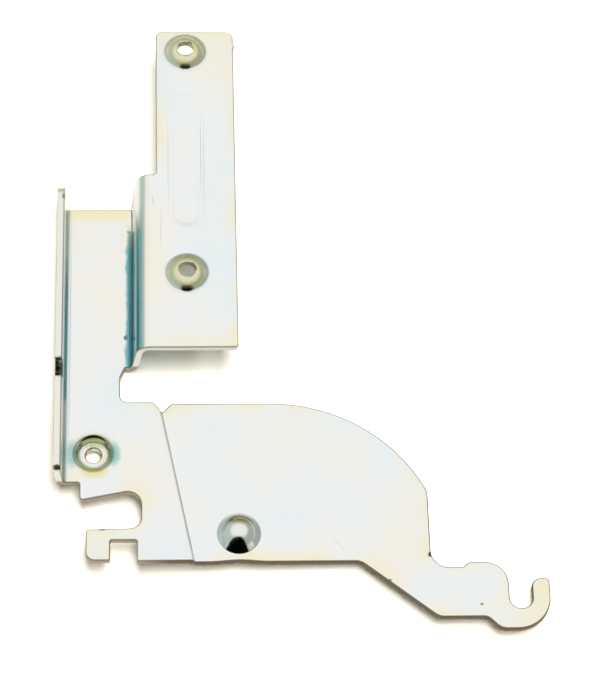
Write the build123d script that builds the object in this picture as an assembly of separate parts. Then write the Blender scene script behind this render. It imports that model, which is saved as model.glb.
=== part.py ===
"""Door hinge leaf of a household appliance, stamped and folded from one sheet of zinc-plated steel.

X runs along the arm to the spring hook, Y up the door's edge, Z square to the sheet.
The origin is the axis of the pressed pivot, on the back face of the arm.
"""
import os
from math import cos, radians, sin, tan

from build123d import *

# Sheet and folds
sheet = 2.0                 # strip thickness
bend_radius = 1.0           # inside radius of the folds
foot_fold = 1.7             # inside radius at the foot of the step wall
crown_fold = 2.2            # inside radius where the step wall turns into the screw plate
wall_lean = 7.6             # the step wall leans this many degrees out of square
flange_lean = 3.7           # and the side flange this many
bend_outer = bend_radius + sheet
joggle = 1.2                # the base lies this much above the arm
joggle_run = 0.4            # width of the joggle's slope: a half-sheared step, nearly square
joggle_radius = 0.3
step_rise = 12.0            # from the base up to the screw plate
flange_rise = 8.4           # free edge of the side flange above the base

# Arm and spring hook, about the pivot
hook_reach = 73.5           # pivot axis to the middle of the hook's slot
hook_overhang = 23.1        # arm's end edge to the middle of that slot
arm_end = hook_reach - hook_overhang
arm_top = 38.2
arm_bottom = -8.1
crown_radius = 45.8         # sweep of the arm's upper corner
crown_angle = 63.0          # where the sweep meets the end edge
crown_blend = 6.0
throat_drop = 1.8           # the hollow beside the arm's end lies this far below its lower edge
throat_length = 9.8         # arm's end edge to the hook's shoulder
throat_radius = 4.8
throat_floor = arm_bottom - throat_drop
shoulder_rise = 1.4         # from the hollow up to the shoulder
shoulder_start = arm_end + throat_length
shoulder_top = throat_floor + shoulder_rise
shoulder_radius = 6.0
hook_slot = 6.0             # slot width
slot_depth = 13.1           # from the shoulder down
slot_floor = shoulder_top - slot_depth
hook_wall = 4.75            # material outside the slot
hook_lip = 8.4              # tip above the slot's floor
hook_tip = slot_floor + hook_lip
hook_base = 5.7             # material under the slot
hook_heel = slot_floor - hook_base
hook_radius = 9.0
belly_rise = 3.4            # straight lower edge above the heel
belly = hook_heel + belly_rise
belly_start = arm_end + 1.3
belly_end = hook_reach - 9.1
ramp_run = 18.6             # where the lower edge turns down, before the arm's end
ramp_start = arm_end - ramp_run

# Base, with the side flange and the step wall
wall_face = -28.35          # foot of the step wall, on the side towards the flange
base_width = 17.85          # clear width between flange and step wall
flange_back = wall_face - base_width - sheet
base_foot = 14.5
base_top = 98.15
fold_relief = 7.25          # the step wall's fold stops this far below the base's top
fold_end = base_top - fold_relief
base_side = wall_face + 0.15    # free side edge of the base above that fold
flange_overrun = 3.6        # the flange runs past the base
flange_end = base_top + flange_overrun
notch_middle = base_foot + 30.3     # nick in the flange's free edge
notch_width = 5.2
notch_depth = 1.6
tongue_gap = 6.2            # the tongue below the base stands clear of the flange's outer face
tongue_left = flange_back + tongue_gap
tongue_drop = 5.2
tongue_foot = base_foot - tongue_drop
tongue_corner = tongue_foot + 3.2
plate_gap = 10.3            # between the arm's top edge and the screw plate
plate_foot = arm_top + plate_gap
neck_relief = 3.0           # relief beside the step wall's foot
neck_side = wall_face - neck_relief
neck_top = plate_foot - 2.9
neck_radius = 2.0

# Finger below the base
finger_gap = 7.95           # between tongue and finger
finger_top = tongue_foot - finger_gap
finger_inset = 1.8          # the finger's end is set in from the tongue's
finger_left = tongue_left + finger_inset
slot_end = finger_left + 14.5   # closed end of the gap
finger_foot = arm_bottom + 0.3
finger_wall = 6.4           # prong left of the finger's notch
finger_notch = 7.0
notch_height = 6.0
notch_roof = arm_bottom + notch_height

# Joggle line, slanting across the foot of the base
joggle_top_x = -20.9        # at the arm's top edge
joggle_bottom_x = -11.9     # at the arm's lower edge
nick_depth = 2.8            # relief nick at the joggle's upper end
nick_left = 1.6
nick_right = 3.2

# Screw plate, its bosses and its rib
screw_x = -13.2
screw_low = 71.1
screw_spacing = 71.6
screw_high = screw_low + screw_spacing
screw_hole = 4.5
screw_edge = 7.3            # upper screw to the plate's top edge
plate_top = screw_high + screw_edge
plate_right = screw_x + 13.65
plate_left = screw_x - 8.35     # upper part, above the step wall
wall_overrun = 4.35         # the step wall runs past the base's top
wall_top = base_top + wall_overrun
plate_corner = 2.2
tab_drop = 5.0              # stub of the strip's carrier tab, below the plate's top edge
tab_height = plate_top - tab_drop
tab_radius = 0.9
tab_proud = 0.35
boss_foot = 5.75            # radius where the boss leaves the plate
boss_rise = 2.2
boss_slope = 48.0
boss_inner_radius = 1.2
boss_foot_radius = 1.7
rib_width = 10.2
rib_clear_low = 14.4        # from the lower screw to the rib
rib_clear_high = 11.8       # from the rib to the upper screw
rib_low = screw_low + rib_clear_low
rib_high = screw_high - rib_clear_high
rib_depth = 0.5
rib_slope = 18.0
rib_radius = 0.8

# Sunk screw seat in the base
seat_x = flange_back + 9.8
seat_y = base_foot + 8.85
seat_foot = 6.3
seat_depth = 2.1
seat_slope = 56.0
seat_hole = 4.2
seat_inner_radius = 0.5
seat_foot_radius = 0.4

# Pressed pivot
pivot_foot = 5.8
pivot_rise = 4.1
pivot_slope = 65.0
pivot_foot_radius = 0.4
pivot_draw = 0.6            # the pressing draws the arm's lower edge in by this much
pivot_draw_reach = 6.5      # and this far to either side

# Levels of the flats, from the arm's back face
base_back = joggle
plate_back = base_back + step_rise
base_face = base_back + sheet
plate_face = plate_back + sheet
flange_top = base_face + flange_rise


def rounded_face(corners):
    """Face from corner points (x, y, radius); each corner is turned by a tangent arc."""
    count = len(corners)
    points = [Vector(x, y) for x, y, _ in corners]
    spans = []
    for i, (_, _, radius) in enumerate(corners):
        here = points[i]
        back = (points[i - 1] - here).normalized()
        ahead = (points[(i + 1) % count] - here).normalized()
        if radius == 0:
            spans.append((here, None, here))
            continue
        half = radians(back.get_angle(ahead)) / 2
        reach = radius / tan(half)
        middle = here + (back + ahead).normalized() * (radius / sin(half) - radius)
        spans.append((here + back * reach, middle, here + ahead * reach))
    edges = []
    for i, (start, middle, stop) in enumerate(spans):
        if middle is not None:
            edges.append(ThreePointArc(start, middle, stop))
        following = spans[(i + 1) % count][0]
        if (following - stop).length > 1e-5:
            edges.append(Line(stop, following))
    return Face(Wire(edges))


def prism(corners, plane, start, stop):
    """Rounded outline drawn on a plane and carried from start to stop along its normal."""
    return extrude(plane.offset(start) * rounded_face(corners), stop - start)


def joggled_sheet():
    """Endless sheet that drops from the base's level to the arm's along the joggle line."""
    along = Vector(joggle_bottom_x - joggle_top_x, arm_bottom - arm_top).normalized()
    across = Vector(-along.Y, along.X)
    middle = Vector((joggle_top_x + joggle_bottom_x) / 2, (arm_top + arm_bottom) / 2)
    plane = Plane(origin=middle, x_dir=across, z_dir=along)
    reach = 2 * (plate_top - hook_heel)
    half = joggle_run / 2
    section = [
        (-reach, base_back, 0),
        (-half, base_back, joggle_radius),
        (half, 0, joggle_radius),
        (reach, 0, 0),
        (reach, sheet, 0),
        (half, sheet, joggle_radius),
        (-half, base_face, joggle_radius),
        (-reach, base_face, 0),
    ]
    return prism(section, plane, -reach, reach)


def foot_outline():
    """Outline of base, tongue, finger, arm and hook, all cut from the one flat blank."""
    flange_fold = flange_back + bend_outer
    wall_fold = wall_face - foot_fold
    slot_near = hook_reach - hook_slot / 2
    slot_far = hook_reach + hook_slot / 2
    hook_right = slot_far + hook_wall
    prong_right = finger_left + finger_wall
    notch_right = prong_right + finger_notch
    tangent = crown_radius * tan(radians(crown_angle / 2))
    sweep = radians(crown_angle)
    crown_x = arm_end - (tangent + crown_blend * tan((radians(90) - sweep) / 2)) * cos(sweep)
    end_y = arm_top - (arm_end - crown_x) * tan(sweep)
    slot_radius = hook_slot / 2 - 0.02
    return [
        (flange_fold, base_foot, 0),
        (tongue_left, base_foot, 0.6),
        (tongue_left, tongue_foot, 1.0),
        (slot_end, tongue_corner, 3.6),
        (slot_end, finger_top, 3.0),
        (finger_left, finger_top - 0.3, 0.8),
        (finger_left, finger_foot, 2.4),
        (prong_right, finger_foot, 0.4),
        (prong_right, notch_roof, 0.5),
        (notch_right, notch_roof, 0.5),
        (notch_right, arm_bottom, 0.4),
        (-pivot_draw_reach, arm_bottom, 40.0),
        (0, arm_bottom + pivot_draw, 30.0),
        (pivot_draw_reach, arm_bottom, 40.0),
        (ramp_start, arm_bottom, 4.0),
        (belly_start, belly, 4.0),
        (belly_end, belly, 2.5),
        (belly_end + belly_rise, hook_heel, 4.0),
        (hook_right, hook_heel, hook_radius),
        (hook_right, hook_tip, 1.0),
        (slot_far, hook_tip, 2.4),
        (slot_far, slot_floor, slot_radius),
        (slot_near, slot_floor, slot_radius),
        (slot_near, shoulder_top, shoulder_radius),
        (shoulder_start, shoulder_top, 1.6),
        (shoulder_start - shoulder_rise, throat_floor, 1.6),
        (arm_end, throat_floor, throat_radius),
        (arm_end, end_y, crown_blend),
        (crown_x, arm_top, crown_radius),
        (joggle_top_x + nick_right, arm_top, 0.8),
        (joggle_top_x + nick_left / 2, arm_top - nick_depth, 0.8),
        (joggle_top_x - nick_left, arm_top, 0.8),
        (neck_side, arm_top, neck_radius),
        (neck_side, neck_top, 1.6),
        (wall_fold, plate_foot, 0),
        (wall_fold, fold_end, 0),
        (base_side, fold_end, 0),
        (base_side, base_top, 0.5),
        (flange_fold, base_top, 0),
    ]


def side_flange():
    """Flange folded up along the base's left side, running past the base at the top."""
    inner = flange_back + sheet
    outer = inner - sheet * tan(radians(45 - flange_lean / 2))
    lean = tan(radians(flange_lean))
    rise_lean = (flange_rise + sheet) * lean
    free_edge = base_face + bend_radius
    section = [
        (inner + bend_radius, base_back, 0),
        (inner + bend_radius, base_face, 0),
        (inner, base_face, bend_radius),
        (inner - flange_rise * lean, flange_top, 0),
        (outer - rise_lean, flange_top, 0),
        (outer, base_back, bend_outer),
    ]
    notch_low = notch_middle - notch_width / 2
    notch_high = notch_middle + notch_width / 2
    side = [
        (base_foot, base_back, 0),
        (base_top, base_back, 0),
        (base_top, free_edge, 0.4),
        (flange_end, free_edge, 0.6),
        (flange_end, flange_top, 3.4),
        (notch_high, flange_top, 0.4),
        (notch_high, flange_top - notch_depth, 0.5),
        (notch_low, flange_top - notch_depth, 0.5),
        (notch_low, flange_top, 0.4),
        (base_foot, flange_top, 0.8),
    ]
    strip = prism(section, Plane.XZ, -base_foot, -flange_end)
    return strip & prism(side, Plane.YZ, outer - 2 * rise_lean, inner + bend_radius)


def plate_start():
    """Where the screw plate's flat begins, past the fold at the head of the step wall."""
    return wall_face + step_rise * tan(radians(wall_lean)) + crown_fold + sheet


def step_wall():
    """Wall that carries the sheet from the base up to the screw plate, folded at both ends."""
    back = wall_face + sheet * tan(radians(45 - wall_lean / 2))
    lean = step_rise * tan(radians(wall_lean))
    plate_fold = plate_start()
    base_fold = wall_face - foot_fold
    free_edge = base_face + foot_fold
    section = [
        (base_fold, base_back, 0),
        (back, base_back, foot_fold + sheet),
        (back + lean, plate_back, crown_fold),
        (plate_fold, plate_back, 0),
        (plate_fold, plate_face, 0),
        (wall_face + lean, plate_face, crown_fold + sheet),
        (wall_face, base_face, foot_fold),
        (base_fold, base_face, 0),
    ]
    side = [
        (plate_foot, base_back, 0),
        (fold_end, base_back, 0),
        (fold_end, free_edge, 0.4),
        (wall_top, free_edge, 0.6),
        (wall_top, plate_face, 0),
        (plate_foot, plate_face, 0),
    ]
    strip = prism(section, Plane.XZ, -plate_foot, -wall_top)
    return strip & prism(side, Plane.YZ, base_fold, plate_fold)


def screw_plate():
    """Upper flat that the door's screws hold, narrower above the step wall."""
    plate_fold = plate_start()
    outline = [
        (plate_fold, plate_foot, 0),
        (plate_right, plate_foot, 0.9),
        (plate_right, plate_top, plate_corner),
        (plate_left, plate_top, plate_corner * 0.8),
        (plate_left, wall_top, 0.8),
        (plate_fold, wall_top, 0),
    ]
    tab = Pos(plate_right + tab_proud - tab_radius, tab_height, plate_back)
    stub = Cylinder(tab_radius, sheet, align=(Align.CENTER, Align.CENTER, Align.MIN))
    return prism(outline, Plane.XY, plate_back, plate_face) + tab * stub


def pressing_section(foot, rise, slope, foot_radius, inner_radius, bore):
    """Half section of sheet pressed up out of its plane, at full thickness all through.

    It starts where the pressing runs out into the flat sheet and ends at the bore or the axis.
    """
    turn = tan(radians(slope / 2))
    rim = foot + foot_radius * turn
    crown = foot - rise / tan(radians(slope))
    inset = sheet * turn
    return [
        (rim, 0, 0),
        (rim, sheet, 0),
        (foot, sheet, foot_radius),
        (crown, sheet + rise, inner_radius + sheet),
        (bore, sheet + rise, 0),
        (bore, rise, 0),
        (crown - inset, rise, inner_radius),
        (foot - inset, 0, foot_radius + sheet),
    ]


def pressed_into(body, place, section, span=0):
    """The body with a pressing let into it at a place, drawn out along Y where it has a span."""
    rim = section[0][0]
    cut = Pos(0, 0, sheet / 2) * Cylinder(rim, 3 * sheet)
    if span == 0:
        return body - place * cut + place * revolve(Plane.XZ * rounded_face(section), Axis.Z)
    half = span / 2
    right_top = section[1:4]
    right_back = section[6:8]
    left_top = [(-x, z, radius) for x, z, radius in reversed(right_top)]
    left_back = [(-x, z, radius) for x, z, radius in reversed(right_back)]
    across = [section[0]] + right_top + left_top + [(-rim, 0, 0)] + left_back + right_back
    middle = prism(across, Plane.XZ, -half, half)
    end = revolve(Plane.XZ * rounded_face(section), Axis.Z, 180)
    slot = Pos(0, 0, sheet / 2) * Box(2 * rim, span, 3 * sheet)
    for turn, shift in ((0, half), (180, -half)):
        slot = slot + Pos(0, shift, 0) * cut
        middle = middle + Pos(0, shift, 0) * Rot(0, 0, turn) * end
    return body - place * slot + place * middle


def pivot_inner_radius():
    """Radius of the pivot's hollow that closes its crown into one round cap."""
    crown = pivot_foot - pivot_rise / tan(radians(pivot_slope))
    return (crown - 0.05) / tan(radians(pivot_slope / 2)) - sheet


def rib_foot():
    """Half width of the rib on the side it is pressed out to."""
    return rib_width / 2 + sheet * tan(radians(rib_slope / 2))


def flat_foot():
    """Base, tongue, finger, arm and hook: level above the arm's top edge, joggled below it."""
    outline = foot_outline()
    level = prism(outline, Plane.XY, base_back, base_face)
    dropped = prism(outline, Plane.XY, -sheet, base_face + sheet) & joggled_sheet()
    span = 2 * (plate_top - hook_heel)
    above = Pos(0, arm_top, 0) * Box(span, span, span, align=(Align.CENTER, Align.MIN, Align.CENTER))
    below = Pos(0, arm_top, 0) * Box(span, span, span, align=(Align.CENTER, Align.MAX, Align.CENTER))
    return (level & above) + (dropped & below)


def hinge_plate():
    """The whole leaf: flat foot with its joggle, folded walls, then the pressings."""
    leaf = flat_foot() + side_flange() + step_wall() + screw_plate()
    boss = pressing_section(
        boss_foot, boss_rise, boss_slope,
        boss_foot_radius, boss_inner_radius, screw_hole / 2,
    )
    for height in (screw_low, screw_high):
        leaf = pressed_into(leaf, Pos(screw_x, height, plate_back), boss)
    rib = pressing_section(rib_foot(), rib_depth, rib_slope, rib_radius, rib_radius, 0)
    rib_middle = (rib_low + rib_high) / 2
    rib_span = rib_high - rib_low - rib_width
    leaf = pressed_into(leaf, Pos(screw_x, rib_middle, plate_face) * Rot(180, 0, 0), rib, rib_span)
    seat = pressing_section(
        seat_foot, seat_depth, seat_slope,
        seat_foot_radius, seat_inner_radius, seat_hole / 2,
    )
    leaf = pressed_into(leaf, Pos(seat_x, seat_y, base_face) * Rot(180, 0, 0), seat)
    pivot = pressing_section(
        pivot_foot, pivot_rise, pivot_slope,
        pivot_foot_radius, pivot_inner_radius(), 0,
    )
    leaf = pressed_into(leaf, Pos(0, 0, 0), pivot)
    return leaf.clean()


os.makedirs("parts", exist_ok=True)
export_step(hinge_plate(), "parts/hinge_plate.step")
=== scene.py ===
import math

import bmesh
import bpy
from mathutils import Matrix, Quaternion, Vector, kdtree
from mathutils.bvhtree import BVHTree


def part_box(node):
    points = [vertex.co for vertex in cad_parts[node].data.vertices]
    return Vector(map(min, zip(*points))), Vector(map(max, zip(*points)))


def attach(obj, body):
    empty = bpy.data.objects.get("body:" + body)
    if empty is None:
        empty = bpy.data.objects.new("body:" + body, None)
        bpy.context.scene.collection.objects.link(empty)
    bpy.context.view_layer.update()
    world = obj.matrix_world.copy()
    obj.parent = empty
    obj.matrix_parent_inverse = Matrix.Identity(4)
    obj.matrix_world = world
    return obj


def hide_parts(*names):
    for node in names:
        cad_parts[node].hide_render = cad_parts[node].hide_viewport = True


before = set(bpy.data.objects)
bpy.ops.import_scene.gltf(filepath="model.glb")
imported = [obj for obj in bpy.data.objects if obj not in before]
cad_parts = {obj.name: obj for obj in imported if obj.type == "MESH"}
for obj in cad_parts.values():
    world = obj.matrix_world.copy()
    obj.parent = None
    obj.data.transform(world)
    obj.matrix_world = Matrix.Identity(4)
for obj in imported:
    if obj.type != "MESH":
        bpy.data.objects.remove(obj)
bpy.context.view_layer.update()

# Hinge leaf: the whole hinge is one blank punched out of 2 mm cold-rolled steel, folded and embossed in a
# press tool, then zinc plated in a barrel. The punch rolls the front rim over by a third of a millimetre and
# leaves the back rim nearly sharp and the cut faces duller than the rolled skin.
mm = 0.001
sheet = 2.0
front_roll = 0.34
back_roll = 0.12
same_point = 0.002
sharp = math.radians(35)
flat_join = math.radians(0.4)
base_middle = Vector((-38.0, 60.0, 3.2)) * mm

leaf_form = bmesh.new()
leaf_form.from_mesh(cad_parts["hinge_plate"].data)
bmesh.ops.remove_doubles(leaf_form, verts=leaf_form.verts, dist=same_point * mm)
cut_face = leaf_form.faces.layers.float.new("cut")
rim_face = leaf_form.faces.layers.float.new("rim")
from_rim = leaf_form.verts.layers.float.new("from_rim")
bend = leaf_form.verts.layers.float.new("bend")

# A face with more metal behind it than the sheet is thick was made by the punch, unless it slopes: the
# half-sheared step of the joggle keeps its skin.
just_under = 0.02
deepest_cut = 60
skin_depth = 1.6 * sheet
upright = 0.2
lying = 0.8
metal = BVHTree.FromBMesh(leaf_form)
for face in leaf_form.faces:
    inward = -face.normal
    probe = face.calc_center_median() + inward * just_under * mm
    through = metal.ray_cast(probe, inward, deepest_cut * mm)[3]
    thick = through is None or through > skin_depth * mm
    sloping = upright < abs(inward.z) < lying
    face[cut_face] = float(thick and not sloping)

# The front skin is all that can be reached from the base's upper face without crossing a cut face.
bmesh.ops.dissolve_limit(leaf_form, angle_limit=flat_join, verts=leaf_form.verts, edges=leaf_form.edges)
leaf_form.faces.ensure_lookup_table()
first_face = leaf_form.faces[BVHTree.FromBMesh(leaf_form).find_nearest(base_middle)[2]]
front_skin = {first_face}
to_visit = [first_face]
while to_visit:
    for edge in to_visit.pop().edges:
        for face in edge.link_faces:
            if face not in front_skin and edge.calc_face_angle(0.0) < sharp:
                front_skin.add(face)
                to_visit.append(face)
rims = [edge for edge in leaf_form.edges if edge.calc_face_angle(0.0) > sharp]
front_rims = [edge for edge in rims if any(face in front_skin for face in edge.link_faces)]
back_rims = [edge for edge in rims if not any(face in front_skin for face in edge.link_faces)]
for rim_edges, roll, steps in ((front_rims, front_roll, 4), (back_rims, back_roll, 2)):
    rolled = bmesh.ops.bevel(leaf_form, geom=[edge for edge in rim_edges if edge.is_valid], offset=roll * mm,
                             offset_type="OFFSET", segments=steps, profile=0.5, affect="EDGES",
                             clamp_overlap=False)
    for face in rolled["faces"]:
        face[rim_face] = 1.0

# The pivot's crown is split finer, so that it mirrors smoothly: a ball that runs out into a straight flank.
pivot_foot = 5.8
pivot_rise = 4.1
flank = math.radians(55)
ball = (pivot_foot * math.tan(flank) - pivot_rise) / (1 / math.cos(flank) - 1)
hollow_reach = 5
pivot_reach = 6.1
level_slack = 0.01


def on_pivot(vert):
    """Tells the points of the pivot's outer skin from those of the hollow behind it."""
    outer = vert.co.length > hollow_reach * mm and vert.co.z > (sheet - level_slack) * mm
    return outer and vert.co.xy.length < pivot_reach * mm


pivot_faces = [face for face in leaf_form.faces if all(on_pivot(vert) for vert in face.verts)]
pivot_faces = bmesh.ops.triangulate(leaf_form, faces=pivot_faces)["faces"]
pivot_edges = list({edge for face in pivot_faces for edge in face.edges})
bmesh.ops.subdivide_edges(leaf_form, edges=pivot_edges, cuts=2, use_grid_fill=True)
for vert in filter(on_pivot, leaf_form.verts):
    from_axis = vert.co.xy.length / mm
    if from_axis < ball * math.sin(flank):
        rise = pivot_rise - ball + math.sqrt(ball ** 2 - from_axis ** 2)
    else:
        rise = max(0.0, (pivot_foot - from_axis) * math.tan(flank))
    vert.co.z = (sheet + rise) * mm

# On the front the rib is little more than a dish: it keeps this share of its depth.
rib_share = 0.4
plate_face = 15.2
rib_across = (-20.2, -6.2)
rib_along = (84, 132)
for vert in leaf_form.verts:
    x, y, z = vert.co / mm
    in_rib = rib_across[0] < x < rib_across[1] and rib_along[0] < y < rib_along[1]
    if in_rib and plate_face - 1 < z < plate_face:
        vert.co.z = (plate_face - (plate_face - z) * rib_share) * mm
leaf_form.normal_update()

# Cut into small squares, so that what is painted on its points is fine enough.
paint_grid = 2.5
grid_shift = 0.37
on_plane = 0.001
low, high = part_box("hinge_plate")
for axis in (0, 1):
    square_to = Vector((axis == 0, axis == 1, 0))
    for step in range(1, int((high[axis] - low[axis]) / (paint_grid * mm)) + 1):
        bmesh.ops.bisect_plane(leaf_form, geom=leaf_form.verts[:] + leaf_form.edges[:] + leaf_form.faces[:],
                               dist=on_plane * mm, plane_no=square_to,
                               plane_co=square_to * (low[axis] + (step - grid_shift) * paint_grid * mm))

# How far each point is from a rim, and how sharply the skin bends there: hollow below zero, crowned above.
rim_points = [vert for vert in leaf_form.verts if any(face[rim_face] > 0.5 for face in vert.link_faces)]
near_rim = kdtree.KDTree(len(rim_points))
for number, vert in enumerate(rim_points):
    near_rim.insert(vert.co, number)
near_rim.balance()
for vert in leaf_form.verts:
    vert[from_rim] = near_rim.find(vert.co)[2] / mm
    turn = area = 0.0
    for edge in vert.link_edges:
        if len(edge.link_faces) == 2 and all(face[rim_face] < 0.5 for face in edge.link_faces):
            turn += edge.calc_face_angle_signed(0.0) * edge.calc_length() / mm / 2
    for face in vert.link_faces:
        if face[rim_face] < 0.5:
            area += face.calc_area() / mm ** 2 / len(face.verts)
    vert[bend] = max(-1.0, min(1.0, turn / area)) if area else 0.0
own_part = 0.4
for smoothing in range(3):
    mean = {}
    for vert in leaf_form.verts:
        around = [edge.other_vert(vert)[bend] for edge in vert.link_edges]
        mean[vert] = own_part * vert[bend] + (1 - own_part) * sum(around) / len(around)
    for vert, value in mean.items():
        vert[bend] = value

for face in leaf_form.faces:
    face.smooth = True
leaf_mesh = bpy.data.meshes.new("hinge_leaf")
leaf_form.to_mesh(leaf_mesh)
leaf_form.free()
leaf = bpy.data.objects.new("hinge_leaf", leaf_mesh)
bpy.context.scene.collection.objects.link(leaf)
level = leaf.modifiers.new("flats stay flat", "WEIGHTED_NORMAL")
level.mode = "FACE_AREA_WITH_ANGLE"
level.weight = 50
level.keep_sharp = True
bpy.context.view_layer.update()
leaf.data = bpy.data.meshes.new_from_object(leaf.evaluated_get(bpy.context.evaluated_depsgraph_get()))
leaf.modifiers.clear()


def linear(hex_colour):
    """Turns an sRGB hex colour into the linear colour that a shader takes."""
    parts = [int(hex_colour[at:at + 2], 16) / 255 for at in (1, 3, 5)]
    return [part / 12.92 if part <= 0.04045 else ((part + 0.055) / 1.055) ** 2.4 for part in parts] + [1.0]


def add(tree, kind, sockets=None, **settings):
    """Adds one node. Settings are its own options, and sockets holds each input's value or source."""
    node = tree.nodes.new(kind)
    for name, value in settings.items():
        setattr(node, name, value)
    for name, value in (sockets or {}).items():
        if isinstance(value, bpy.types.NodeSocket):
            tree.links.new(value, node.inputs[name])
        else:
            node.inputs[name].default_value = value
    return node


# Bright zinc electroplate on steel, blue passivated: a pale silver skin with a thin film on it that drifts
# from blue to straw, and straw on rims. Painted reflection and shade make it deep teal in the hollow of the
# step, blue-grey in tight hollows and brown on the rims and low cut faces. The barrel has left a few stains,
# specks and hairline scratches.
zinc = bpy.data.materials.new("blue_passivated_zinc_plate")
zinc.use_nodes = True
tree = zinc.node_tree
tree.nodes.clear()
place = add(tree, "ShaderNodeTexCoord").outputs["Object"]
cut = add(tree, "ShaderNodeAttribute", attribute_name="cut").outputs["Fac"]
rim = add(tree, "ShaderNodeAttribute", attribute_name="rim").outputs["Fac"]
rim_distance = add(tree, "ShaderNodeAttribute", attribute_name="from_rim").outputs["Fac"]
curved = add(tree, "ShaderNodeAttribute", attribute_name="bend").outputs["Fac"]
sides = add(tree, "ShaderNodeSeparateXYZ", {"Vector": place})
across = sides.outputs["X"]
along = sides.outputs["Y"]
above = sides.outputs["Z"]

# The film drifts over about 28 mm.
drift = add(tree, "ShaderNodeTexNoise",
            {"Vector": place, "Scale": 1000 / 28, "Detail": 3.0, "Roughness": 0.55})
film = add(tree, "ShaderNodeValToRGB", {"Fac": drift.outputs["Fac"]})
film.color_ramp.elements[0].position = 0.34
film.color_ramp.elements[0].color = linear("#e8f0f1")
film.color_ramp.elements[1].position = 0.68
film.color_ramp.elements[1].color = linear("#f3efe3")
film.color_ramp.elements.new(0.5).color = linear("#eff1ef")

# Straw along the rims in broken patches about 14 mm long, and on the heads of base and plate and the hook.
near = add(tree, "ShaderNodeMapRange",
           {"Value": rim_distance, "From Min": 0.2, "From Max": 4.0, "To Min": 1.0, "To Max": 0.0})
patches = add(tree, "ShaderNodeTexNoise", {"Vector": place, "Scale": 1000 / 14, "Detail": 2.0})
patchy = add(tree, "ShaderNodeMapRange",
             {"Value": patches.outputs["Fac"], "From Min": 0.42, "From Max": 0.66,
              "To Min": 0.0, "To Max": 0.7})
straw_share = add(tree, "ShaderNodeMath", {0: near.outputs["Result"], 1: patchy.outputs["Result"]},
                  operation="MULTIPLY")
head_height = add(tree, "ShaderNodeMapRange", {"Value": along, "From Min": 93.0 * mm, "From Max": 96.0 * mm})
head_width = add(tree, "ShaderNodeMapRange",
                 {"Value": across, "From Min": -28.0 * mm, "From Max": -30.0 * mm})
base_head = add(tree, "ShaderNodeMath", {0: head_height.outputs["Result"], 1: head_width.outputs["Result"]},
                operation="MULTIPLY")
straw_all = add(tree, "ShaderNodeMath", {0: straw_share.outputs["Value"], 1: base_head.outputs["Value"]},
                operation="MAXIMUM")
for run, begins, full, most in ((along, 139.0, 149.0, 0.6), (across, 64.0, 79.0, 0.6)):
    end = add(tree, "ShaderNodeMapRange",
              {"Value": run, "From Min": begins * mm, "From Max": full * mm, "To Min": 0.0, "To Max": most})
    straw_all = add(tree, "ShaderNodeMath", {0: straw_all.outputs["Value"], 1: end.outputs["Result"]},
                    operation="MAXIMUM")
straw = add(tree, "ShaderNodeMix",
            {"Factor": straw_all.outputs["Value"], "A": film.outputs["Color"], "B": linear("#f3ecc6")},
            data_type="RGBA")

# Painted shade: blue-grey in tight hollows, most in the folds of the base. A breath of olive on crowns.
hollow = add(tree, "ShaderNodeMapRange",
             {"Value": curved, "From Min": -0.1, "From Max": -0.6, "To Min": 0.0, "To Max": 0.45})
on_base = add(tree, "ShaderNodeMapRange",
              {"Value": across, "From Min": -25.0 * mm, "From Max": -27.0 * mm,
               "To Min": 0.35, "To Max": 1.0})
crease_shade_share = add(tree, "ShaderNodeMath", {0: hollow.outputs["Result"], 1: on_base.outputs["Result"]},
                   operation="MULTIPLY")
blue = add(tree, "ShaderNodeMix",
           {"Factor": crease_shade_share.outputs["Value"], "A": straw.outputs["Result"], "B": linear("#9fc0c4")},
           data_type="RGBA")
crowned = add(tree, "ShaderNodeMapRange",
              {"Value": curved, "From Min": 0.08, "From Max": 0.4, "To Min": 0.0, "To Max": 0.3})
olive = add(tree, "ShaderNodeMix",
            {"Factor": crowned.outputs["Result"], "A": blue.outputs["Result"], "B": linear("#dcdabc")},
            data_type="RGBA")

# Painted reflection and shade on the blue film: deep teal in the hollow of the step, from its foot to its
# crown, with a ragged near edge: the rags are about 2.5 mm wide and 6 mm long.
runs = add(tree, "ShaderNodeMapping", {"Vector": place, "Scale": (1000 / 2.5, 1000 / 6, 1000 / 6)})
ragged = add(tree, "ShaderNodeTexNoise", {"Vector": runs.outputs["Vector"], "Scale": 1.0, "Detail": 2.0})
step_shift = add(tree, "ShaderNodeMath", {0: ragged.outputs["Fac"], 1: 2.0 * mm, 2: across},
                 operation="MULTIPLY_ADD")
step_near = add(tree, "ShaderNodeMapRange",
                {"Value": step_shift.outputs["Value"], "From Min": -29.2 * mm, "From Max": -28.4 * mm})
step_far = add(tree, "ShaderNodeMapRange", {"Value": across, "From Min": -24.8 * mm, "From Max": -26.0 * mm})
step_head = add(tree, "ShaderNodeMapRange",
                {"Value": along, "From Min": 94.0 * mm, "From Max": 84.0 * mm, "To Min": 0.0, "To Max": 0.9})
step_foot = add(tree, "ShaderNodeMapRange", {"Value": along, "From Min": 46.5 * mm, "From Max": 49.0 * mm})
step_width = add(tree, "ShaderNodeMath", {0: step_near.outputs["Result"], 1: step_far.outputs["Result"]},
                 operation="MULTIPLY")
step_length = add(tree, "ShaderNodeMath", {0: step_head.outputs["Result"], 1: step_foot.outputs["Result"]},
                  operation="MULTIPLY")
painted_step_shade = add(tree, "ShaderNodeMath", {0: step_width.outputs["Value"], 1: step_length.outputs["Value"]},
                 operation="MULTIPLY")
teal = add(tree, "ShaderNodeMix",
           {"Factor": painted_step_shade.outputs["Value"], "A": olive.outputs["Result"], "B": linear("#66acb8")},
           data_type="RGBA")

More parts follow.
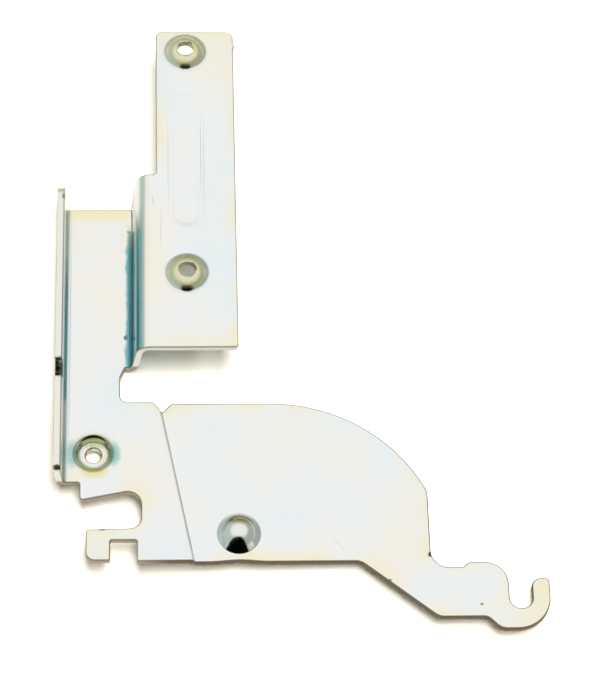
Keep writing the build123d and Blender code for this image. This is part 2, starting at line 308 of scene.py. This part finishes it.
# The bosses, drawn furthest, are olive all over.
boss = add(tree, "ShaderNodeMapRange",
           {"Value": above, "From Min": 15.3 * mm, "From Max": 16.0 * mm, "To Max": 0.7})
drawn = add(tree, "ShaderNodeMix",
            {"Factor": boss.outputs["Result"], "A": teal.outputs["Result"], "B": linear("#e0d9ac")},
            data_type="RGBA")

# Cut faces are duller. Their colour is painted shade, darker low down: pale on the folded walls, beige on the
# base and its finger, and brown on the arm. The rolled rims get the same painted shade.
walled = add(tree, "ShaderNodeMapRange",
             {"Value": above, "From Min": 3.3 * mm, "From Max": 4.5 * mm}).outputs["Result"]
on_arm = add(tree, "ShaderNodeMapRange",
             {"Value": across, "From Min": -26.0 * mm, "From Max": -18.0 * mm}).outputs["Result"]
foot_colour = add(tree, "ShaderNodeMix", {"Factor": on_arm, "A": linear("#ab9c86"), "B": linear("#665441")},
                  data_type="RGBA")
cut_colour = add(tree, "ShaderNodeMix",
                 {"Factor": walled, "A": foot_colour.outputs["Result"], "B": linear("#f4f1e8")},
                 data_type="RGBA")
punched = add(tree, "ShaderNodeMix",
              {"Factor": cut, "A": drawn.outputs["Result"], "B": cut_colour.outputs["Result"]},
              data_type="RGBA")
low_rim_shade = add(tree, "ShaderNodeMapRange", {"Value": on_arm, "To Min": 0.5, "To Max": 0.75})
rim_shade = add(tree, "ShaderNodeMapRange", {"Value": walled, "To Min": low_rim_shade.outputs["Result"], "To Max": 0.45})
shaded_rims = add(tree, "ShaderNodeMath", {0: rim, 1: rim_shade.outputs["Result"]}, operation="MULTIPLY")
rims_shaded = add(tree, "ShaderNodeMix",
           {"Factor": shaded_rims.outputs["Value"], "A": punched.outputs["Result"], "B": linear("#75664c")},
           data_type="RGBA")
colour_now = rims_shaded.outputs["Result"]

# Stains, specks and scratches, and painted shade and reflection: middle, half sizes and turn of each, its
# colour and how much of it covers. Dirt sits on the flange's foot. Painted shade darkens the flange's notch
# and the top end of the flange, a spot at the foot of the step, the flange's fold and the sides of the rib.
# Painted reflection colours the drawn rim of the screw seat blue, teal, olive and straw, and the far side of
# the pivot olive. Edges are broken up over about 0.6 mm, except those of fine lines.
break_reach = 1.1 * mm
finest_stain = 0.3
breaks = add(tree, "ShaderNodeTexNoise", {"Vector": place, "Scale": 1000 / 0.6, "Detail": 2.0})
centred = add(tree, "ShaderNodeVectorMath", {0: breaks.outputs["Color"], 1: (0.5, 0.5, 0.5)},
              operation="SUBTRACT")
broken = add(tree, "ShaderNodeVectorMath",
             {0: centred.outputs["Vector"], 1: (break_reach, break_reach, break_reach), 2: place},
             operation="MULTIPLY_ADD")
for middle, half, turned_by, stain_and_shade_colour, cover in (
        # Painted shade in the flange's notch: the next four rows.
        ((-47.20, 44.8, 10.6), (2.4, 3.7, 3.2), 0, "#3a4a38", 0.96),
        ((-48.20, 46.6, 10.6), (0.9, 1.3, 2.2), 0, "#10120b", 0.95),
        ((-48.00, 44.9, 10.4), (1.0, 1.4, 2.0), 12, "#0c0e0a", 0.97),
        ((-48.30, 42.9, 10.8), (1.5, 1.3, 2.4), 0, "#080907", 0.98),
        ((-47.60, 15.1, 11.4), (1.5, 0.9, 1.6), 0, "#0e0c0a", 0.95),
        # Painted shade at the top end of the flange.
        ((-46.95, 97.6, 11.0), (0.8, 1.3, 1.6), 0, "#55534a", 0.75),
        ((50.40, -6.30, 1.7), (1.3, 0.9, 1.2), 20, "#14110d", 0.90),
        ((39.25, -13.5, 1.9), (0.5, 0.4, 0.8), 0, "#4a4438", 0.75),
        ((63.00, -20.4, 1.9), (0.6, 0.4, 0.8), 0, "#4a4438", 0.75),
        # Painted shade: dark teal at the foot of the step's hollow.
        ((-29.95, 57.6, 3.2), (0.8, 1.0, 0.8), 0, "#34565a", 0.80),
        ((-35.95, 0.75, 3.1), (1.1, 0.4, 0.8), 0, "#6c6354", 0.75),
        ((-21.65, 115.9, 15.1), (0.4, 0.7, 0.8), 0, "#4d463b", 0.80),
        # Painted reflection round the screw seat: the next four rows.
        ((-44.00, 22.8, 3.0), (2.6, 4.8, 1.8), 0, "#a6c6c6", 0.85),
        ((-33.00, 22.8, 3.0), (2.2, 4.2, 1.8), 0, "#92c6c0", 0.85),
        ((-38.40, 26.6, 2.4), (5.2, 2.2, 2.2), 0, "#b4bb72", 0.80),
        ((-37.90, 17.4, 3.0), (4.4, 2.2, 1.4), 0, "#e9e3a4", 0.85),
        # Painted reflection: olive on the far side of the pivot.
        ((0.30, 3.1, 5.0), (5.4, 2.5, 2.4), 0, "#a5a064", 0.75),
        # Painted shade: a line along the flange's fold.
        ((-45.00, 58.0, 3.2), (0.20, 38.0, 0.6), 0, "#b5bfbd", 0.50),
        ((-20.20, 85.8, 15.2), (0.13, 7.2, 0.5), -1, "#b4b8bc", 0.55),
        ((-22.40, 94.0, 15.2), (0.13, 2.6, 0.5), 2, "#b4b8bc", 0.55),
        # Painted shade: lines along the sides of the rib, the next three rows.
        ((-18.20, 106.0, 15.2), (0.13, 19.0, 0.6), 0, "#b9c4c8", 0.50),
        ((-9.10, 108.0, 15.2), (0.14, 17.0, 0.6), 0, "#a9bac6", 0.60),
        ((-8.30, 104.0, 15.2), (0.13, 20.0, 0.6), 0, "#b2bfca", 0.55),
        ((26.50, -3.5, 2.0), (0.13, 4.0, 0.5), 35, "#c0c0bc", 0.40)):
    scratch_and_shade_line = half[0] < finest_stain
    spot = add(tree, "ShaderNodeMapping",
               {"Vector": place if scratch_and_shade_line else broken.outputs["Vector"],
                "Location": [part * mm for part in middle],
                "Rotation": (0, 0, math.radians(turned_by)),
                "Scale": [part * mm for part in half]}, vector_type="TEXTURE")
    spread = add(tree, "ShaderNodeVectorMath", {0: spot.outputs["Vector"]}, operation="LENGTH")
    inside = add(tree, "ShaderNodeMapRange",
                 {"Value": spread.outputs["Value"], "From Min": 1.0, "From Max": 0.5,
                  "To Min": 0.0, "To Max": cover})
    stain_and_shade_mix = add(tree, "ShaderNodeMix",
                  {"Factor": inside.outputs["Result"], "A": colour_now, "B": linear(stain_and_shade_colour)}, data_type="RGBA")
    colour_now = stain_and_shade_mix.outputs["Result"]

# Grain of the plate: really under 0.1 mm, drawn at 0.5 mm so that it shows.
grain = add(tree, "ShaderNodeTexNoise", {"Vector": place, "Scale": 1000 / 0.5, "Detail": 2.0})
# The sheet isn't quite flat after pressing: waves about 9 mm long.
waves = add(tree, "ShaderNodeTexNoise", {"Vector": place, "Scale": 1000 / 9, "Detail": 1.0})
# Lines of the rolling mill run up the sheet: really 0.05 mm apart, drawn at 0.4 mm so that they show.
rolls = add(tree, "ShaderNodeMapping", {"Vector": place, "Scale": (1000 / 0.4, 1000 / 40, 1000 / 0.4)})
mill = add(tree, "ShaderNodeTexNoise", {"Vector": rolls.outputs["Vector"], "Scale": 1.0, "Detail": 1.0})
shine = add(tree, "ShaderNodeMapRange",
            {"Value": grain.outputs["Fac"], "From Min": 0.3, "From Max": 0.7, "To Min": 0.18, "To Max": 0.22})
# Bosses and cut faces are duller than the skin.
boss_dull = 0.18
cut_dull = 0.18
pressed = add(tree, "ShaderNodeMath", {0: boss.outputs["Result"], 1: boss_dull, 2: shine.outputs["Result"]},
              operation="MULTIPLY_ADD")
dull = add(tree, "ShaderNodeMath", {0: cut, 1: cut_dull, 2: pressed.outputs["Value"]},
           operation="MULTIPLY_ADD")
wavy = add(tree, "ShaderNodeBump", {"Height": waves.outputs["Fac"], "Strength": 0.2, "Distance": 0.12 * mm})
milled = add(tree, "ShaderNodeBump",
             {"Height": mill.outputs["Fac"], "Normal": wavy.outputs["Normal"], "Strength": 0.12,
              "Distance": 0.01 * mm})
grainy = add(tree, "ShaderNodeBump",
             {"Height": grain.outputs["Fac"], "Normal": milled.outputs["Normal"], "Strength": 0.05,
              "Distance": 0.02 * mm})
skin = add(tree, "ShaderNodeBsdfPrincipled",
           {"Base Color": colour_now, "Metallic": 1.0, "Roughness": dull.outputs["Value"],
            "Normal": grainy.outputs["Normal"]})
add(tree, "ShaderNodeOutputMaterial", {"Surface": skin.outputs["BSDF"]})

leaf.data.materials.clear()
leaf.data.materials.append(zinc)
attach(leaf, "root")
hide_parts("hinge_plate")

# Floor: a plain white sheet of studio paper. The leaf lies on it on three points, the foot of the sunk screw
# seat, the top corner of the base and the crown of the arm, so it leans by a little under two degrees. In
# front of the seat the paper bends down a little, so the lower end of the leaf stands clear of it.
arm_crown = Vector((25.351, 35.158, 0.0)) * mm
seat_foot = Vector((-37.101, 26.659, -0.9)) * mm
base_corner = Vector((-28.559, 98.13, 1.2)) * mm
up = (seat_foot - arm_crown).cross(base_corner - arm_crown).normalized()
up = up if up.z > 0 else -up
leaning = up.to_track_quat("Z", "Y")
paper_half = 1.6
bend_line = -0.011
bend_fall = 0.07
hair_gap = 0.02
just_below = arm_crown - up * hair_gap * mm
paper_corners = [just_below + leaning @ Vector((x, y, min(0.0, y - bend_line) * bend_fall))
                 for y in (-paper_half, bend_line, paper_half) for x in (-paper_half, paper_half)]
paper_mesh = bpy.data.meshes.new("paper")
paper_mesh.from_pydata(paper_corners, [], [(0, 1, 3, 2), (2, 3, 5, 4)])
paper = bpy.data.objects.new("paper", paper_mesh)
bpy.context.scene.collection.objects.link(paper)
white_paper = bpy.data.materials.new("white_studio_paper")
white_paper.use_nodes = True
tree = white_paper.node_tree
tree.nodes.clear()
# Seen straight by the camera the paper is over white, and warm, so that only real shadow shows on it.
over_white = (1.60, 1.54, 1.38, 1.0)
seen = add(tree, "ShaderNodeLightPath").outputs["Is Camera Ray"]
paper_colour = add(tree, "ShaderNodeMix", {"Factor": seen, "A": linear("#fbfaf7"), "B": over_white},
                   data_type="RGBA")
paper_matt = add(tree, "ShaderNodeBsdfDiffuse", {"Color": paper_colour.outputs["Result"]})
add(tree, "ShaderNodeOutputMaterial", {"Surface": paper_matt.outputs["BSDF"]})
paper_mesh.materials.append(white_paper)

# Light: a wide soft lamp nearly straight above lights the paper, with a weak fill from the right. The metal
# mirrors the room, a white ceiling and walls that are cream above, grey lower down and a little bluer on the
# left.
world = bpy.data.worlds.new("studio")
bpy.context.scene.world = world
world.use_nodes = True
tree = world.node_tree
tree.nodes.clear()
white = (1, 1, 1, 1)
towards = add(tree, "ShaderNodeTexCoord").outputs["Generated"]
heading = add(tree, "ShaderNodeSeparateXYZ", {"Vector": towards}).outputs["X"]
back_height = add(tree, "ShaderNodeVectorMath", {0: towards, 1: (0.0, 0.15, 1.0)}, operation="DOT_PRODUCT")
sideways = add(tree, "ShaderNodeMath", {0: heading}, operation="ABSOLUTE")
height = add(tree, "ShaderNodeMath",
             {0: sideways.outputs["Value"], 1: 0.12, 2: back_height.outputs["Value"]},
             operation="MULTIPLY_ADD").outputs["Value"]
cream_band = add(tree, "ShaderNodeMapRange", {"Value": height, "From Min": 0.40, "From Max": 0.72},
                 interpolation_type="SMOOTHSTEP")
walls = add(tree, "ShaderNodeMix",
            {"Factor": cream_band.outputs["Result"], "A": linear("#a1a28c"), "B": linear("#dad8c2")},
            data_type="RGBA").outputs["Result"]
for to_side, side_wall in ((-1.3, "#c2d2d0"), (1.3, "#adb5b0")):
    wall_share = add(tree, "ShaderNodeMath", {0: heading, 1: to_side}, operation="MULTIPLY", use_clamp=True)
    walls = add(tree, "ShaderNodeMix",
                {"Factor": wall_share.outputs["Value"], "A": walls, "B": linear(side_wall)},
                data_type="RGBA").outputs["Result"]
ceiling = add(tree, "ShaderNodeMapRange", {"Value": height, "From Min": 0.74, "From Max": 0.86},
              interpolation_type="SMOOTHSTEP")
room = add(tree, "ShaderNodeMix", {"Factor": ceiling.outputs["Result"], "A": walls, "B": white},
           data_type="RGBA")
# The camera sees white, the metal mirrors the room, and matt surfaces get only a dim brown from it.
rays = add(tree, "ShaderNodeLightPath")
mirrored = add(tree, "ShaderNodeMix",
               {"Factor": rays.outputs["Is Glossy Ray"], "A": linear("#2a2314"), "B": room.outputs["Result"]},
               data_type="RGBA")
backdrop = add(tree, "ShaderNodeMix",
               {"Factor": rays.outputs["Is Camera Ray"], "A": mirrored.outputs["Result"], "B": white},
               data_type="RGBA")
glow = add(tree, "ShaderNodeBackground", {"Color": backdrop.outputs["Result"], "Strength": 1.0})
add(tree, "ShaderNodeOutputWorld", {"Surface": glow.outputs["Background"]})

# The wide lamp overhead and the fill: place, two sizes and watts of each.
for name, stand, wide, broad, watts in (("ceiling_lamp", (0.30, 0.06, 3.0), 3.4, 1.5, 104.0),
                                        ("side_fill", (2.0, 0.0, 2.4), 0.9, 0.6, 12.0)):
    lamp_data = bpy.data.lights.new(name, "AREA")
    lamp_data.shape = "ELLIPSE"
    lamp_data.size = wide
    lamp_data.size_y = broad
    lamp_data.energy = watts
    lamp = bpy.data.objects.new(name, lamp_data)
    lamp.location = stand
    lamp.rotation_euler = (-Vector(stand)).to_track_quat("-Z", "Y").to_euler()
    lamp.visible_glossy = False
    bpy.context.scene.collection.objects.link(lamp)

# Small black cards stand on the near side of the pivot and the bosses, and over the seat, as studios use
# them, to give these a dark side. They show only in the metal that faces them from close by, and throw no
# shadow.
black_card = bpy.data.materials.new("black_studio_card")
black_card.use_nodes = True
tree = black_card.node_tree
tree.nodes.clear()
ray_length = add(tree, "ShaderNodeLightPath").outputs["Ray Length"]
far_off = add(tree, "ShaderNodeMapRange", {"Value": ray_length, "From Min": 9 * mm, "From Max": 12 * mm})
from_back = add(tree, "ShaderNodeNewGeometry").outputs["Backfacing"]
unseen = add(tree, "ShaderNodeMath", {0: far_off.outputs["Result"], 1: from_back}, operation="MAXIMUM")
card_matt = add(tree, "ShaderNodeBsdfDiffuse", {"Color": linear("#0b0806")})
clear = add(tree, "ShaderNodeBsdfTransparent")
card_skin = add(tree, "ShaderNodeMixShader",
                {0: unseen.outputs["Value"], 1: card_matt.outputs["BSDF"], 2: clear.outputs["BSDF"]})
add(tree, "ShaderNodeOutputMaterial", {"Surface": card_skin.outputs["Shader"]})
# A point on the lower edge, left and right ends from there and height of each, in millimetres. The upper
# corners are cut off.
trimmed = 0.6
for name, foot, left, right, tall in (("pivot_card", (0.0, -6.7, 2.0), -6.4, 3.8, 12.5),
                                      ("lower_boss_card", (-13.2, 64.4, 15.2), -2.8, 2.8, 2.6),
                                      ("upper_boss_card", (-13.2, 136.0, 15.2), -2.8, 2.8, 2.6),
                                      ("seat_card", (-38.4, 22.2, 3.3), -4.4, 4.4, 8.0)):
    outline = ((left, 0.0), (left, trimmed * tall), (trimmed * left, tall),
               (trimmed * right, tall), (right, trimmed * tall), (right, 0.0))
    card_corners = [(Vector(foot) + Vector((side, 0.0, rise))) * mm for side, rise in outline]
    card_mesh = bpy.data.meshes.new(name)
    card_mesh.from_pydata(card_corners, [], [(0, 1, 2, 3, 4, 5)])
    card_mesh.materials.append(black_card)
    card = bpy.data.objects.new(name, card_mesh)
    bpy.context.scene.collection.objects.link(card)
    card.visible_camera = False
    card.visible_diffuse = False
    card.visible_shadow = False
    card.visible_transmission = False

# Camera: looks down on the leaf from its lower end, 62 degrees above the sheet, with a long lens from 0.7 m,
# and is turned a little about its own axis.
camera_data = bpy.data.cameras.new("camera")
camera_data.sensor_fit = "VERTICAL"
camera_data.sensor_height = 36.0
camera_data.lens = 138.317
camera = bpy.data.objects.new("camera", camera_data)
camera.location = Vector((-20.927, -270.986, 627.944)) * mm
target = Vector((17.724, 58.510, 2.0)) * mm
tilt = Quaternion((0, 0, 1), math.radians(5.737))
aim = (target - camera.location).to_track_quat("-Z", "Y") @ tilt
camera.rotation_euler = aim.to_euler()
bpy.context.scene.collection.objects.link(camera)
bpy.context.scene.camera = camera
bpy.context.scene.view_settings.view_transform = "Standard"
